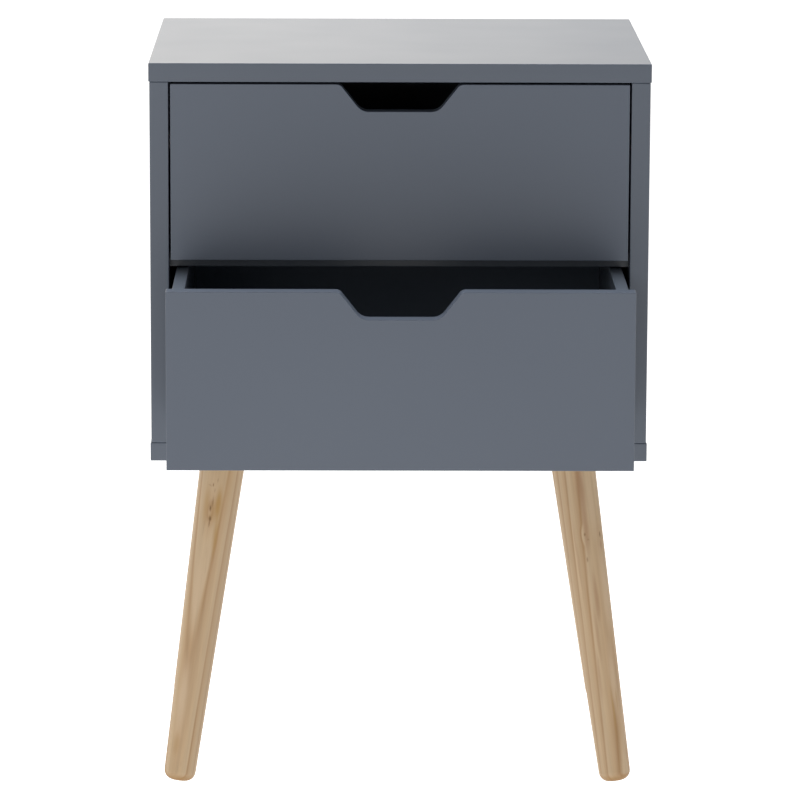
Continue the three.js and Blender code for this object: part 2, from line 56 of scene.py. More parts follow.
# Studio: a floor that glows most near a place before the object's left, a dim sky that is white near
# the horizon and brightest behind the object's left, a soft box before its left and one above it.
# Each edge and reach is where a glow starts and where it stops changing
FLOOR_REACH = 40.0
FLOOR_COLOR = (0.3, 0.3, 0.3, 1)
FLOOR_ROUGHNESS = 0.8
FLOOR_GLOW = (1.36, 1.0)
GLOW_REACH = (0.4, 2.5)
GLOW_PLACE = (-0.5, -0.3, 0)
WHITE = (1, 1, 1, 1)
SKY_GLOW = (0.20, 0.20, 0.20)
BACK_GLOW = (1.43, 1.36, 1.25)
BACK_EDGE = (0.23, -0.07)
BACK_REACH = (0.1, 0.7)
LOW_GLOW = 0.80
LOW_EDGE = (0.082, 0.09)
KEY_PLACE = (-1.0, -1.9, 1.2)
KEY_SIZE = (1.3, 1.3)
KEY_POWER = 9.5
KEY_AIM = (0, 0, 0.4)
TOP_PLACE = (0, 0.3, 2.0)
TOP_SIZE = (1.6, 0.8)
TOP_POWER = 43.0
TOP_AIM = (0, 0.3, 0)

# Boards
BOARD_EDGE = 0.0008
FRONT_EDGE = 0.0005
EDGE_STEPS = 3
ROUND_PROFILE = 0.5
GAP = 0.0003
OVERRUN = 0.005
SHARP_ANGLE = math.radians(35)

# Finger cut-out in the top edge of each drawer front
CUTOUT_TOP = 0.0955
CUTOUT_BOTTOM = 0.061
CUTOUT_DEPTH = 0.0218
CUTOUT_TOP_RADIUS = 0.006
CUTOUT_BOTTOM_RADIUS = 0.012
ARC_STEPS = 10

# Drawer sides: the groove for the runner and the groove for the bottom
GROOVE_SPARE_DEPTH = 0.0005
GROOVE_SPARE_HEIGHT = 0.0025
RUNNER_BITE = 0.004
RUNNER_HEIGHT = 0.016
STOP_HEIGHT = 0.002
STOP_LENGTH = 0.006
STUD_RADIUS = 0.004
STUD_FROM_END = 0.030

# Legs
LEG_INSET = 0.0588
REAR_LEG_OUTSET = 0.002
SPLAY = math.radians(8)
LEG_TOP_RADIUS = 0.018
LEG_FOOT_RADIUS = 0.0129
LEG_TOP_DROP = 0.008
LEG_TOP_EDGE = 0.001
FOOT_ROUNDING = 0.008
FOOT_WEAR = 0.0004
LEG_SIDES = 96
LEG_RINGS = 24
BOLT_RADIUS = 0.004
BOLT_IN_LEG = 0.030
BOLT_SPARE = 0.001

# Noise: its usual roughness, its middle value, and the ranges that most of it and nearly all of it
# lie in
NOISE_ROUGHNESS = 0.5
NOISE_MIDDLE = 0.5
MOST_NOISE = (0.3, 0.7)
NEARLY_ALL_NOISE = (0.1, 0.9)

# Paint: the colours of each board where its clouds are dark and light, the roughness of each shine
# where it is glossiest and dullest, the scales of clouds, shine and orange peel, and the peel's
# strength and depth
BOARD_COLORS = ((0.080, 0.096, 0.124, 1), (0.086, 0.102, 0.131, 1))
FRONT_COLORS = ((0.080, 0.096, 0.127, 1), (0.086, 0.103, 0.134, 1))
DRAWER_COLORS = ((0.084, 0.100, 0.126, 1), (0.090, 0.107, 0.134, 1))
# The divider's coat is darker than the other boards': painted shade, standing in for the shade on its
# recessed edge between the drawers
DIVIDER_SHADE_COLORS = ((0.048, 0.057, 0.070, 1), (0.052, 0.061, 0.074, 1))
BACK_COLORS = ((0.088, 0.100, 0.122, 1), (0.098, 0.110, 0.133, 1))
BOARD_SHINE = (0.28, 0.31)
FRONT_SHINE = (0.35, 0.39)
BACK_SHINE = (0.55, 0.7)
CLOUD_SCALE = 6.0
SHINE_SCALE = 15.0
PEEL_SCALE = 500.0
PEEL_RELIEF = (0.12, 0.00003)

# Metal: each part's colour and least roughness, what stains add to the roughness, the scales of
# stains, spangle and grain, the spangle's share, and the grain's strength and depth
STEEL_COLOR = (0.55, 0.56, 0.57, 1)
STEEL_ROUGHNESS = 0.28
ZINC_COLOR = (0.62, 0.63, 0.64, 1)
ZINC_ROUGHNESS = 0.22
STAIN_ROUGHNESS = 0.15
STAIN_SCALE = 130.0
SPANGLE_SCALE = 420.0
SPANGLE_SHARE = 0.12
METAL_GRAIN_SCALE = 900.0
METAL_RELIEF = (0.2, 0.00002)

# Nylon: its two colours, roughness, the share and depth of the light that enters it, the scales of
# clouds and grain, and the grain's strength and depth
NYLON_COLORS = ((0.66, 0.65, 0.60, 1), (0.76, 0.75, 0.71, 1))
NYLON_ROUGHNESS = 0.42
NYLON_GLOW_SHARE = 0.1
NYLON_GLOW_DEPTH = 0.002
NYLON_CLOUD_SCALE = 60.0
NYLON_GRAIN_SCALE = 700.0
NYLON_RELIEF = (0.15, 0.00003)

# Pine: growth rings from the start of one to the start of the next, and other tones: the wood's own,
# some painted as light and shade on the front legs' sides, and a dark tone at the feet that is partly
# end grain and partly painted contact shadow
RING_START = 0.88
RING_COLORS = (
    (0.0, (0.510, 0.374, 0.237, 1)),
    (0.30, (0.496, 0.358, 0.217, 1)),
    (0.70, (0.441, 0.295, 0.165, 1)),
    (0.86, (0.345, 0.204, 0.097, 1)),
    (0.93, (0.422, 0.275, 0.148, 1)),
    (1.0, (0.510, 0.374, 0.237, 1)),
)
RING_DRIFT = 0.0009
PINE_PALE = (0.486, 0.354, 0.221, 1)
PINE_TONES = {
    # A paler tone, used as painted light on the front legs' outer sides
    "painted_light": (0.539, 0.400, 0.263, 1),
    "amber": (0.374, 0.221, 0.077, 1),
    "brown": (0.335, 0.190, 0.100, 1),
    "knot": (0.175, 0.090, 0.030, 1),
    # A darker tone, used as painted shade down the front legs' inner sides
    "painted_side_shade": (0.412, 0.288, 0.174, 1),
    # A dark tone at each foot: partly the end grain's own colour, partly painted contact shadow
    "end": (0.255, 0.140, 0.045, 1),
}
# Where the dark tone at the foot starts and ends above the end, and its strength: end grain with painted
# contact shadow
END_GRAIN_SHADE_REACH = (0.008, 0.001)
END_GRAIN_SHADE_STRENGTH = 0.95
MARK_SWAY = (0.0018, 0.0018, 0.005)
MARK_CORE = 0.1
KNOT_REACH = 6.0
KNOT_PULL = 1.2

# Pine: how noise is stretched along the leg and its scale, for the drift of the rings, the sway of
# the marks, the pale clouds, the fibres and the ducts between them, and what each does
DRIFT_STRETCH = (1, 1, 0.22)
DRIFT_SCALE = 26.0
SWAY_STRETCH = (1, 1, 0.3)
SWAY_SCALE = 150.0
PALE_STRETCH = (1, 1, 0.10)
PALE_SCALE = 95.0
PALE_RANGE = (0.35, 0.7)
PALE_SHARE = 0.4
FIBRE_STRETCH = (1, 1, 0.018)
FIBRE_SCALE = 420.0
FIBRE_ROUGHNESS = 0.6
FIBRE_SHADE = (0.92, 1.06)
FIBRE_SHINE = (0.60, 0.50)
DUCT_STRETCH = (1, 1, 0.05)
DUCT_SCALE = 900.0
DUCT_RANGE = (0.68, 0.78)
DUCT_SHADE = 0.88
PINE_SPECULAR = 0.3
RING_RELIEF = -0.3
PINE_RELIEF = (0.25, 0.00004)

# Each leg's figure: its pith and the lean of its pith from the leg's own axis, the radius of one
# ring and the rings' spacing, a seed, the bends of the grain round its knots, and its marks. Bends
# and marks lie at an angle round the leg in degrees, from its front to its right, and a depth below
# its top, with a half width and a half height. A mark ends with its strength and its tone. On the
# front legs, the paler marks on the outer side are painted light, and the long darker band on the
# inner side is painted shade.
FIGURES = {
    "front_left": {
        "pith": (0.0171, 0.047), "lean": (0.0, 0.0),
        "ring": 0.0647, "spacing": 0.0050, "seed": 1.3,
        "bends": [(-16.3, 0.0420, 0.0013, 0.0032), (-14.5, 0.0515, 0.0014, 0.0040)],
        "marks": [
            (20, 0.0120, 0.0140, 0.055, 0.22, "amber"),
            # Painted shade: a long darker band down the inner side, which faces the other legs
            (56, 0.1300, 0.0100, 0.260, 0.62, "painted_side_shade"),
            # Painted light: paler marks on the outer side
            (-26, 0.1100, 0.0060, 0.050, 0.50, "painted_light"),
            (-26, 0.2000, 0.0065, 0.050, 0.85, "painted_light"),
            (-27, 0.2380, 0.0040, 0.014, 0.35, "amber"),
            (-31, 0.0400, 0.0046, 0.022, 0.48, "amber"),
            (-10, 0.0455, 0.0040, 0.016, 0.35, "amber"),
            (3, 0.0385, 0.0042, 0.020, 0.95, "amber"),
            (7, 0.0635, 0.0034, 0.026, 0.70, "amber"),
            (-16.3, 0.0417, 0.0013, 0.0040, 0.90, "knot"),
            (-12, 0.0360, 0.0011, 0.0060, 0.45, "knot"),
            (-14.3, 0.0503, 0.0016, 0.0032, 0.95, "knot"),
            (-14.8, 0.0545, 0.0008, 0.0048, 0.70, "knot"),
            (-17.3, 0.0227, 0.0008, 0.0024, 0.75, "knot"),
            (-7, 0.0187, 0.0006, 0.0026, 0.45, "knot"),
            (-11, 0.0270, 0.0006, 0.0030, 0.45, "knot"),
            (-26, 0.0240, 0.0022, 0.0012, 0.25, "knot"),
        ],
    },
    "front_right": {
        "pith": (-0.0297, 0.0297), "lean": (0.0276, -0.0276),
        "ring": 0.0639, "spacing": 0.0065, "seed": 4.1,
        "bends": [(4.7, 0.0635, 0.0010, 0.0018), (55, 0.0655, 0.0010, 0.0050)],
        "marks": [
            # Painted shade: a long darker band down the inner side, which faces the other legs
            (-52, 0.1300, 0.0090, 0.260, 0.45, "painted_side_shade"),
            # Painted light: paler marks on the outer side
            (36, 0.0420, 0.0055, 0.040, 0.60, "painted_light"),
            (50, 0.1100, 0.0065, 0.055, 0.75, "painted_light"),
            (38, 0.1850, 0.0060, 0.050, 0.80, "painted_light"),
            (60, 0.2200, 0.0070, 0.050, 0.60, "painted_light"),
            (10.5, 0.0215, 0.0050, 0.036, 0.75, "brown"),
            (10.2, 0.0575, 0.0036, 0.034, 0.65, "brown"),
            (15, 0.1155, 0.0028, 0.032, 0.60, "brown"),
            (4, 0.1475, 0.0022, 0.034, 0.45, "brown"),
            (-9, 0.1815, 0.0020, 0.034, 0.40, "brown"),
            (-24, 0.0855, 0.0014, 0.070, 0.35, "brown"),
            (24, 0.2105, 0.0016, 0.036, 0.55, "amber"),
            (42, 0.2015, 0.0014, 0.014, 0.45, "amber"),
            (4.7, 0.0635, 0.0013, 0.0020, 0.70, "knot"),
            (13, 0.0680, 0.0016, 0.0014, 0.30, "knot"),
            (55, 0.0650, 0.0013, 0.0036, 0.85, "knot"),
            (55, 0.0735, 0.0016, 0.0070, 0.60, "brown"),
            (3, 0.0841, 0.0011, 0.0028, 0.55, "knot"),
        ],
    },
    "rear_left": {
        "pith": (-0.035, -0.035), "lean": (0.02, 0.0), "ring": 0.064, "spacing": 0.0048, "seed": 7.7,
        "bends": [(158, 0.120, 0.0012, 0.0034)],
        "marks": [
            (150, 0.116, 0.0070, 0.022, 0.60, "amber"),
            (158, 0.120, 0.0013, 0.0036, 0.90, "knot"),
            (200, 0.060, 0.0040, 0.050, 0.50, "brown"),
        ],
    },
    "rear_right": {
        "pith": (0.030, -0.040), "lean": (0.0, 0.02), "ring": 0.063, "spacing": 0.0056, "seed": 9.2,
        "bends": [],
        "marks": [
            (194, 0.070, 0.0045, 0.080, 0.65, "brown"),
            (186, 0.190, 0.0026, 0.060, 0.45, "brown"),
        ],
    },
}

# Leg plates
PLATE_CORNER = 0.006
PLATE_THICKNESS = 0.0025
PLATE_EDGE = 0.0004
BOSS_RADIUS = 0.012
BOSS_FLARE = 0.003
BOSS_EDGE = 0.0006
ROUND_SIDES = 48

# Screws
SHANK_RADIUS = 0.0019
SCREW_LENGTH = 0.013
SCREW_TIP = 0.003
HEAD_RADIUS = 0.004
HEAD_HEIGHT = 0.0024
CROSS_LENGTH = 0.0044
CROSS_WIDTH = 0.001
CROSS_DEPTH = 0.0012
CONNECTOR_RADIUS = 0.003
CONNECTOR_HEAD_RADIUS = 0.0048
CONNECTOR_HEAD_HEIGHT = 0.003
CONNECTOR_TIP = 0.003
CONNECTOR_TIP_RADIUS = 0.0015
SOCKET_RADIUS = 0.0023
SOCKET_DEPTH = 0.0024
HEX_SIDES = 6

# The places of a colour mix's share and two colours among its inputs, and of its result
MIX_INPUTS = (0, 6, 7)
MIX_RESULT = 2

# Sides and ends
SIDES = (("left", -1), ("right", 1))
ENDS = (("front", -1), ("rear", 1))
LEVELS = ("upper", "lower")


# Meshes
def mesh_of(shape, name):
    mesh = bpy.data.meshes.new(name)
    bmesh.ops.recalc_face_normals(shape, faces=shape.faces)
    shape.to_mesh(mesh)
    shape.free()
    return mesh


def round_edges(shape, edges, size, steps=EDGE_STEPS):
    bmesh.ops.bevel(shape, geom=edges, offset=size, segments=steps, profile=ROUND_PROFILE, affect="EDGES")


def block(low, high, edge=0.0):
    """A block between two corners, with rounded edges if they are given a size."""
    size = [b - a for a, b in zip(low, high)]
    middle = [(a + b) / 2 for a, b in zip(low, high)]
    shape = bmesh.new()
    place = Matrix.Translation(middle) @ Matrix.Diagonal((*size, 1))
    bmesh.ops.create_cube(shape, size=1, matrix=place)
    if edge:
        round_edges(shape, shape.edges[:], edge)
    return mesh_of(shape, "block")


def rod(radius, start, end, sides=ROUND_SIDES):
    """A round rod from one point to another."""
    start, end = Vector(start), Vector(end)
    along = end - start
    turn = along.to_track_quat("Z", "Y").to_matrix().to_4x4()
    place = Matrix.Translation((start + end) / 2) @ turn
    shape = bmesh.new()
    bmesh.ops.create_cone(
        shape, cap_ends=True, segments=sides, radius1=radius, radius2=radius,
        depth=along.length, matrix=place,
    )
    return mesh_of(shape, "rod")


def turned(profile, sides=ROUND_SIDES):
    """A turned solid about Z from pairs of radius and height that start and end on the axis."""
    shape = bmesh.new()
    rings = []
    for radius, height in profile:
        if radius == 0:
            rings.append([shape.verts.new((0, 0, height))])
            continue
        angles = [2 * math.pi * step / sides for step in range(sides)]
        rings.append([
            shape.verts.new((radius * math.cos(a), radius * math.sin(a), height)) for a in angles
        ])
    for ring, following in zip(rings, rings[1:]):
        for step in range(sides):
            after = (step + 1) % sides
            corners = [ring[step % len(ring)], ring[after % len(ring)]]
            corners += [following[after % len(following)], following[step % len(following)]]
            shape.faces.new(list(dict.fromkeys(corners)))
    return mesh_of(shape, "turned")


def pulled(outline, thickness, edge=0.0):
    """An outline in X and Y pulled up along Z, with its rims and corners rounded."""
    shape = bmesh.new()
    face = shape.faces.new([shape.verts.new((x, y, 0)) for x, y in outline])
    extruded = bmesh.ops.extrude_face_region(shape, geom=[face])["geom"]
    top = [v for v in extruded if isinstance(v, bmesh.types.BMVert)]
    bmesh.ops.translate(shape, vec=(0, 0, thickness), verts=top)
    bmesh.ops.recalc_face_normals(shape, faces=shape.faces)
    if edge:
        sharp = [e for e in shape.edges if e.calc_face_angle(0) > SHARP_ANGLE]
        round_edges(shape, sharp, edge)
    return mesh_of(shape, "pulled")


def arc_corner(before, corner, after, radius):
    """The points that round an outline's corner off."""
    before, corner, after = Vector(before), Vector(corner), Vector(after)
    back, ahead = (before - corner).normalized(), (after - corner).normalized()
    half = back.angle(ahead) / 2
    centre = corner + (back + ahead).normalized() * radius / math.sin(half)
    start = corner + back * radius / math.tan(half) - centre
    turn = math.pi - 2 * half
    sign = 1 if start.cross(corner - centre) > 0 else -1
    return [
        tuple(centre + Matrix.Rotation(sign * turn * step / ARC_STEPS, 2) @ start)
        for step in range(ARC_STEPS + 1)
    ]


def rounded_outline(corners):
    """An outline from corners, each x, y and a radius, which may be zero."""
    points = []
    for index, (x, y, radius) in enumerate(corners):
        before, after = corners[index - 1][:2], corners[(index + 1) % len(corners)][:2]
        points += arc_corner(before, (x, y), after, radius) if radius else [(x, y)]
    return points


def moved(mesh, matrix):
    mesh.transform(matrix)
    return mesh


def combined(mesh, tools, operation):
    """A mesh with the tools cut from it or joined to it."""
    scene = bpy.context.scene
    body = bpy.data.objects.new("combined", mesh)
    scene.collection.objects.link(body)
    helpers = []
    for tool in tools:
        helper = bpy.data.objects.new("tool", tool)
        scene.collection.objects.link(helper)
        helpers.append(helper)
        modifier = body.modifiers.new("combine", "BOOLEAN")
        modifier.operation = operation
        modifier.solver = "EXACT"
        modifier.object = helper
    bpy.context.view_layer.update()
    result = bpy.data.meshes.new_from_object(body.evaluated_get(bpy.context.evaluated_depsgraph_get()))
    for each in (body, *helpers):
        bpy.data.objects.remove(each)
    return result


def cut(mesh, tools):
    return combined(mesh, tools, "DIFFERENCE")


def join(mesh, tools):
    return combined(mesh, tools, "UNION")


# Pieces
def show(name, mesh, material, body, node, place=None):
    """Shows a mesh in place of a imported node, smooth where it turns gently."""
    mesh.materials.clear()
    mesh.materials.append(material)
    mesh.shade_smooth()
    mesh.set_sharp_from_angle(angle=SHARP_ANGLE)
    piece = bpy.data.objects.new(name, mesh)
    bpy.context.scene.collection.objects.link(piece)
    if place:
        piece.matrix_world = place
    weights = piece.modifiers.new("flat_faces", "WEIGHTED_NORMAL")
    weights.keep_sharp = True
    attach(piece, body)
    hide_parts(node)
    return piece


def grown(node, growth=GAP):
    """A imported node's two corners, moved apart by a clearance."""
    low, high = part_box(node)
    margin = Vector((growth,) * 3)
    return low - margin, high + margin


# Materials
def node(tree, kind, inputs=None, **settings):
    """A shader node with its settings, and its inputs linked or set by name or number."""
    made = tree.nodes.new("ShaderNode" + kind)
    for name, value in settings.items():
        setattr(made, name, value)
    for name, value in (inputs or {}).items():
        if isinstance(value, bpy.types.NodeSocket):
            tree.links.new(value, made.inputs[name])
        else:
            made.inputs[name].default_value = value
    return made


def new_material(name):
    """A new material, its node tree, its shader and the object's own coordinates."""
    material = bpy.data.materials.new(name)
    material.use_nodes = True
    tree = material.node_tree
    shader = tree.nodes["Principled BSDF"]
    return material, tree, shader, tree.nodes.new("ShaderNodeTexCoord").outputs["Object"]


def stretched(tree, points, scale, shift=(0, 0, 0)):
    return node(tree, "Mapping", {"Vector": points, "Scale": scale, "Location": shift}).outputs[0]


def noise(tree, points, scale, detail=2.0, roughness=NOISE_ROUGHNESS):
    made = node(tree, "TexNoise", {
        "Vector": points, "Scale": scale, "Detail": detail, "Roughness": roughness,
    })
    return made.outputs["Fac"]


def ranged(tree, value, low, high, start=0.0, end=1.0):
    """A value from low to high mapped to a range from start to end."""
    made = node(tree, "MapRange", {
        "Value": value, "From Min": low, "From Max": high, "To Min": start, "To Max": end,
    })
    return made.outputs[0]


def smooth(tree, value, low, high, start=0.0, end=1.0):
    """A value from low to high mapped softly to a range from start to end."""
    made = node(tree, "MapRange", {
        "Value": value, "From Min": low, "From Max": high, "To Min": start, "To Max": end,
    }, interpolation_type="SMOOTHSTEP")
    return made.outputs[0]


def sum_of(tree, operation, first, second):
    """The outcome of one step of arithmetic."""
    return node(tree, "Math", {0: first, 1: second}, operation=operation).outputs[0]


def mixed(tree, share, first, second, how="MIX"):
    made = node(tree, "Mix", data_type="RGBA", blend_type=how)
    for index, value in zip(MIX_INPUTS, (share, first, second)):
        if isinstance(value, bpy.types.NodeSocket):
            tree.links.new(value, made.inputs[index])
        else:
            made.inputs[index].default_value = value
    return made.outputs[MIX_RESULT]


def bumped(tree, shader, height, strength, distance):
    made = node(tree, "Bump", {"Height": height, "Strength": strength, "Distance": distance})
    tree.links.new(made.outputs[0], shader.inputs["Normal"])


def paint(name, colors, shine=BOARD_SHINE):
    """Satin paint, rolled on: faint clouds in its colour, and a fine orange peel."""
    material, tree, shader, points = new_material(name)
    clouds = noise(tree, points, CLOUD_SCALE, 1.0)
    color = mixed(tree, ranged(tree, clouds, *NEARLY_ALL_NOISE), *colors)
    tree.links.new(color, shader.inputs["Base Color"])
    patches = noise(tree, points, SHINE_SCALE, 1.0)
    tree.links.new(ranged(tree, patches, *NEARLY_ALL_NOISE, *shine), shader.inputs["Roughness"])
    bumped(tree, shader, noise(tree, points, PEEL_SCALE, 1.0), *PEEL_RELIEF)
    return material


def axis_distance(tree, parts, centre, lean):
    """How far points lie from a line along the leg, given by its place at the top and its lean."""
    across = [
        sum_of(tree, "SUBTRACT", sum_of(tree, "SUBTRACT", parts[axis], centre[axis]),
               sum_of(tree, "MULTIPLY", parts[2], lean[axis]))
        for axis in (0, 1)
    ]
    flat = node(tree, "CombineXYZ", {0: across[0], 1: across[1]}).outputs[0]
    return node(tree, "VectorMath", {0: flat}, operation="LENGTH").outputs["Value"]


def spot_distance(tree, points, place, width, height):
    """How far points lie from a spot that is longer along the leg, in parts of its size."""
    apart = node(tree, "VectorMath", {0: points, 1: place}, operation="SUBTRACT").outputs[0]
    scale = (1 / width, 1 / width, 1 / height)
    apart = node(tree, "VectorMath", {0: apart, 1: scale}, operation="MULTIPLY").outputs[0]
    return node(tree, "VectorMath", {0: apart}, operation="LENGTH").outputs["Value"]


def on_leg(angle, depth, length):
    """The place on a leg's surface at an angle round it and a depth below its top."""
    radius = LEG_TOP_RADIUS + (LEG_FOOT_RADIUS - LEG_TOP_RADIUS) * depth / length
    turn = math.radians(angle)
    return radius * math.sin(turn), -radius * math.cos(turn), -depth


def ring_color(tree, upright, figure, length):
    """The colour of the growth rings, which lie round a pith beside the leg and bend round knots."""
    seed = figure["seed"]
    parts = node(tree, "SeparateXYZ", {0: upright}).outputs
    rings = axis_distance(tree, parts, figure["pith"], figure["lean"])
    drift = noise(tree, stretched(tree, upright, DRIFT_STRETCH, (seed, seed, 0)), DRIFT_SCALE, 2.0)
    drift = sum_of(tree, "MULTIPLY", sum_of(tree, "SUBTRACT", drift, NOISE_MIDDLE), 2 * RING_DRIFT)
    rings = sum_of(tree, "ADD", rings, drift)
    for angle, depth, width, height in figure["bends"]:
        away = spot_distance(tree, upright, on_leg(angle, depth, length), width, height)
        bend = smooth(tree, away, 1.0, KNOT_REACH, width * KNOT_PULL, 0.0)
        rings = sum_of(tree, "ADD", rings, bend)
    rings = sum_of(tree, "DIVIDE", sum_of(tree, "SUBTRACT", rings, figure["ring"]), figure["spacing"])
    rings = sum_of(tree, "FRACT", sum_of(tree, "ADD", rings, RING_START), 0.0)
    ramp = node(tree, "ValToRGB", {0: rings})
    set_ramp(ramp.color_ramp, RING_COLORS)
    return ramp.outputs[0], rings


def marked(tree, upright, figure, length, color):
    """The wood's colour with the leg's own stains, streaks and knots on it, and painted light and shade
    on its sides.
    """
    seed = figure["seed"]
    middle = (NOISE_MIDDLE,) * 3
    points = stretched(tree, upright, SWAY_STRETCH, (seed, 0, seed))
    sway = node(tree, "TexNoise", {"Vector": points, "Scale": SWAY_SCALE, "Detail": 2.0}).outputs["Color"]
    sway = node(tree, "VectorMath", {0: sway, 1: middle}, operation="SUBTRACT").outputs[0]
    sway = node(tree, "VectorMath", {0: sway, 1: MARK_SWAY}, operation="MULTIPLY").outputs[0]
    swayed = node(tree, "VectorMath", {0: upright, 1: sway}, operation="ADD").outputs[0]
    for angle, depth, width, height, strength, tone in figure["marks"]:
        away = spot_distance(tree, swayed, on_leg(angle, depth, length), width, height)
        share = smooth(tree, away, 1.0, MARK_CORE, 0.0, strength)
        color = mixed(tree, share, color, PINE_TONES[tone])
    return color


def pine(name, turn, figure, length):
    """Turned pine under a matt lacquer, in the leg's own frame."""
    material, tree, shader, points = new_material(name)
    turn_back = turn.inverted().to_euler()
    upright = node(tree, "Mapping", {"Vector": points, "Rotation": turn_back}).outputs[0]
    seed = figure["seed"]
    color, rings = ring_color(tree, upright, figure, length)
    clouds = noise(tree, stretched(tree, upright, PALE_STRETCH, (0, seed, 0)), PALE_SCALE, 3.0)
    color = mixed(tree, ranged(tree, clouds, *PALE_RANGE, 0.0, PALE_SHARE), color, PINE_PALE)
    along = stretched(tree, upright, FIBRE_STRETCH, (seed, 0, seed))
    fibres = noise(tree, along, FIBRE_SCALE, 4.0, FIBRE_ROUGHNESS)
    shade = ranged(tree, fibres, *MOST_NOISE, *FIBRE_SHADE)
    ducts = noise(tree, stretched(tree, upright, DUCT_STRETCH, (0, 0, seed)), DUCT_SCALE, 1.0)
    shade = sum_of(tree, "MULTIPLY", shade, ranged(tree, ducts, *DUCT_RANGE, 1.0, DUCT_SHADE))
    grey = node(tree, "CombineXYZ", {0: shade, 1: shade, 2: shade}).outputs[0]
    color = mixed(tree, 1.0, color, grey, "MULTIPLY")
    color = marked(tree, upright, figure, length, color)
    # Darker towards the foot: the end grain's own tone with painted contact shadow on it
    height = node(tree, "SeparateXYZ", {0: upright}).outputs[2]
    above, below = (reach - length for reach in END_GRAIN_SHADE_REACH)
    color = mixed(tree, smooth(tree, height, above, below, 0.0, END_GRAIN_SHADE_STRENGTH), color, PINE_TONES["end"])
    tree.links.new(color, shader.inputs["Base Color"])
    tree.links.new(ranged(tree, fibres, *MOST_NOISE, *FIBRE_SHINE), shader.inputs["Roughness"])
    shader.inputs["Specular IOR Level"].default_value = PINE_SPECULAR
    relief = sum_of(tree, "ADD", fibres, sum_of(tree, "MULTIPLY", rings, RING_RELIEF))
    bumped(tree, shader, relief, *PINE_RELIEF)
    return material


def set_ramp(ramp, stops):
    """Gives a colour ramp its stops, pairs of place and colour."""
    while len(ramp.elements) < len(stops):
        ramp.elements.new(1.0)
    for element, (place, color) in zip(ramp.elements, stops):
        element.position = place
        element.color = color


def zinc(name, color, rough):
    """Zinc-plated steel: grey, with a faint spangle in its gloss."""
    material, tree, shader, points = new_material(name)
    spangle = node(tree, "TexVoronoi", {"Vector": points, "Scale": SPANGLE_SCALE}).outputs["Color"]
    tint = mixed(tree, SPANGLE_SHARE, color, spangle, "SOFT_LIGHT")
    tree.links.new(tint, shader.inputs["Base Color"])
    shader.inputs["Metallic"].default_value = 1.0
    stains = noise(tree, points, STAIN_SCALE, 4.0)
    shine = ranged(tree, stains, *MOST_NOISE, rough, rough + STAIN_ROUGHNESS)
    tree.links.new(shine, shader.inputs["Roughness"])
    bumped(tree, shader, noise(tree, points, METAL_GRAIN_SCALE), *METAL_RELIEF)
    return material


def nylon(name):
    """Moulded off-white nylon, slightly clouded."""
    material, tree, shader, points = new_material(name)
    clouds = noise(tree, points, NYLON_CLOUD_SCALE, 3.0)
    tree.links.new(mixed(tree, clouds, *NYLON_COLORS), shader.inputs["Base Color"])
    shader.inputs["Roughness"].default_value = NYLON_ROUGHNESS
    shader.inputs["Subsurface Weight"].default_value = NYLON_GLOW_SHARE
    shader.inputs["Subsurface Scale"].default_value = NYLON_GLOW_DEPTH
    bumped(tree, shader, noise(tree, points, NYLON_GRAIN_SCALE), *NYLON_RELIEF)
    return material


# Cabinet boards
def back_groove():
    low, high = grown("back_board")
    return block(low, high)


def round_room(node_name, axis, radius=None):
    """The room for a round node that lies along an axis."""
    low, high = grown(node_name)
    middle = (low + high) / 2
    across = [i for i in range(3) if i != axis]
    radius = radius or max(high[i] - low[i] for i in across) / 2
    start, end = middle.copy(), middle.copy()
    start[axis], end[axis] = low[axis], high[axis]
    return rod(radius, start, end)


def make_top_board(look):
    low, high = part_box("top_board")
    bolts = [round_room(f"cam_bolt_{end}_{side}", 2) for end, _ in ENDS for side, _ in SIDES]
    mesh = cut(block(low, high, BOARD_EDGE), [back_groove(), *bolts])
    show("top_board_painted", mesh, look, "cabinet", "top_board")


def make_bottom_board(look):
    low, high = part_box("bottom_board")
    tools = [back_groove()]
    for end, _ in ENDS:
        for side, _ in SIDES:
            screw_low, screw_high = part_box(f"connecting_screw_{end}_{side}")
            middle = (screw_low + screw_high) / 2
            head_top = screw_low.z + CONNECTOR_HEAD_HEIGHT
            foot = Vector((middle.x, middle.y, low.z - OVERRUN))
            tools.append(rod(CONNECTOR_HEAD_RADIUS + GAP, foot, Vector((middle.x, middle.y, head_top))))
            over = Vector((middle.x, middle.y, high.z + OVERRUN))
            tools.append(rod(CONNECTOR_RADIUS + GAP, foot, over))
            for screw_end, _ in ENDS:
                for screw_side, _ in SIDES:
                    name = f"{end}_{side}_plate_screw_{screw_end}_{screw_side}"
                    tools.append(round_room(name, 2, SHANK_RADIUS + GAP))
    mesh = cut(block(low, high, BOARD_EDGE), tools)
    show("bottom_board_painted", mesh, look, "cabinet", "bottom_board")


def stud_rooms(side, sign):
    """The holes in a side board for the studs of its runners."""
    rooms = []
    for level in LEVELS:
        low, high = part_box(f"{level}_{side}_runner")
        middle_z = high.z - RUNNER_HEIGHT / 2
        reach = high.x if sign > 0 else low.x
        inner = low.x if sign > 0 else high.x
        for y in (low.y + STUD_FROM_END, high.y - STUD_FROM_END):
            rooms.append(rod(STUD_RADIUS + GAP, (inner, y, middle_z), (reach + sign * GAP, y, middle_z)))
    return rooms


